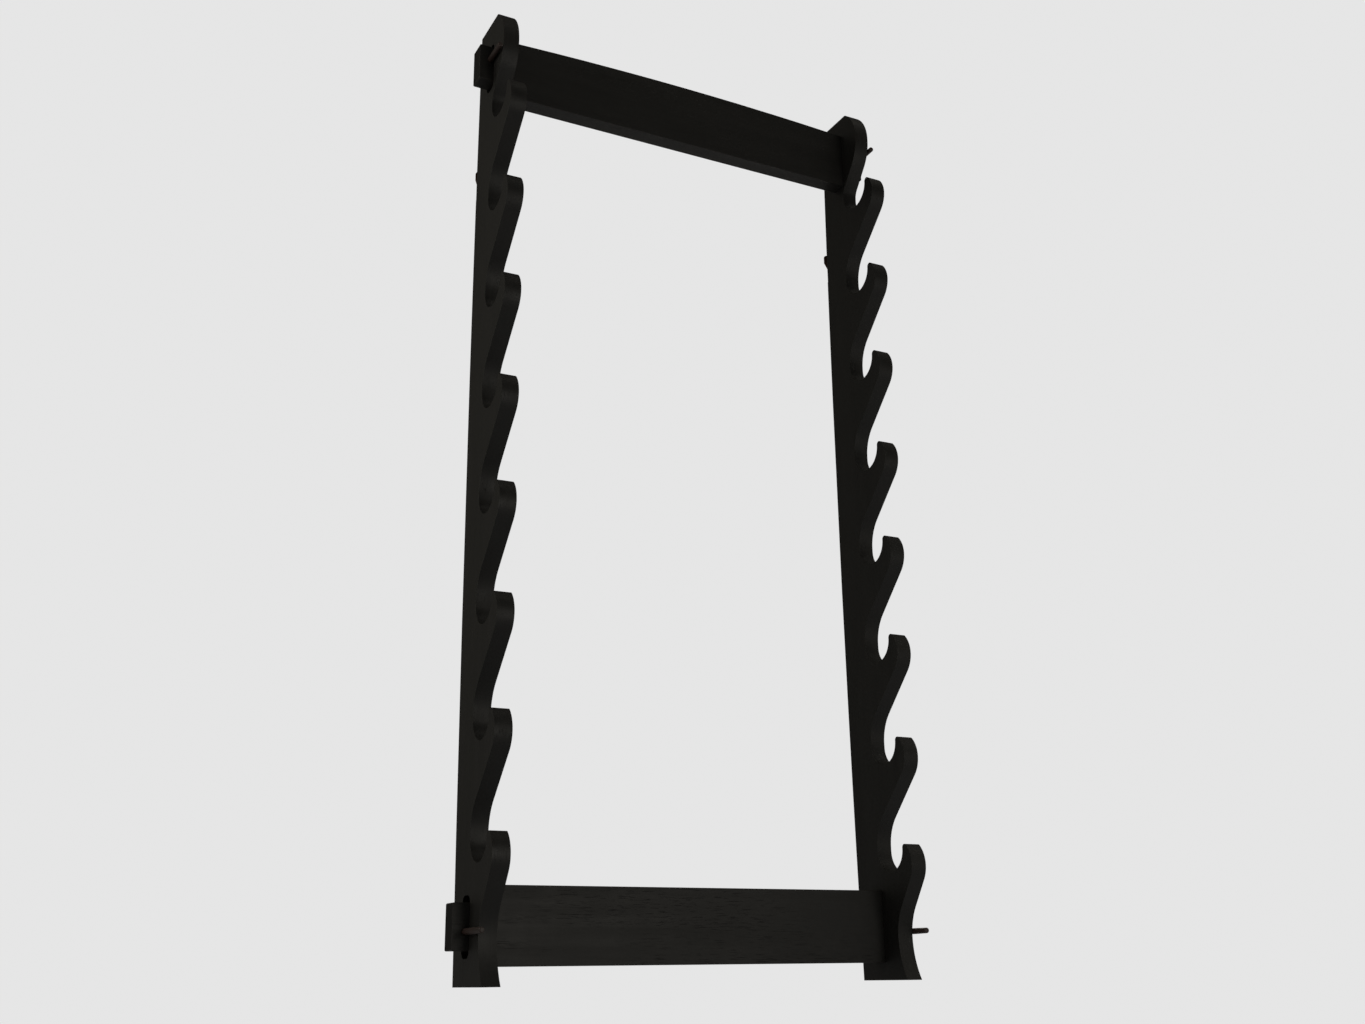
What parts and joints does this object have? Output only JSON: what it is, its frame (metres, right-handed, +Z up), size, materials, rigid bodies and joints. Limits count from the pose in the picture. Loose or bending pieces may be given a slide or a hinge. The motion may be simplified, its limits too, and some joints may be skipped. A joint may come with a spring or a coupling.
{
  "type": "wall cue rack",
  "caption": "Wall rack of two hooked uprights joined by two pegged crossbars, hung on wall screws, holding cues lying level.",
  "frame": {"origin": "on the wall, midway between the centres of the two hanging holes", "axes": "+X along the crossbars, +Y into the wall, +Z up"},
  "size_m": [0.4464, 0.0993, 0.9161],
  "materials": {
    "black_board": "black stained board, satin",
    "peg_wood": "dark reddish brown, satin",
    "hanger_metal": "dark brown bronzed strip",
    "screw_metal": "dull plated steel"
  },
  "bodies": {
    "rack": {"left_upright": "black_board", "right_upright": "black_board", "top_rail": "black_board", "bottom_rail": "black_board", "left_hanger": "hanger_metal", "right_hanger": "hanger_metal", "left_hanger_screw": "screw_metal", "right_hanger_screw": "screw_metal"},
    "top_left_lock": {"top_left_peg": "peg_wood"},
    "top_right_lock": {"top_right_peg": "peg_wood"},
    "bottom_left_lock": {"bottom_left_peg": "peg_wood"},
    "bottom_right_lock": {"bottom_right_peg": "peg_wood"}
  },
  "joints": [
    {"name": "top_left_pull", "type": "slide", "parent": "rack", "child": "top_left_lock", "axis": [0, -1, 0], "range_m": [0, 0.034]},
    {"name": "top_right_pull", "type": "slide", "parent": "rack", "child": "top_right_lock", "axis": [0, -1, 0], "range_m": [0, 0.034]},
    {"name": "bottom_left_pull", "type": "slide", "parent": "rack", "child": "bottom_left_lock", "axis": [0, -1, 0], "range_m": [0, 0.0224]},
    {"name": "bottom_right_pull", "type": "slide", "parent": "rack", "child": "bottom_right_lock", "axis": [0, -1, 0], "range_m": [0, 0.0224]}
  ]
}
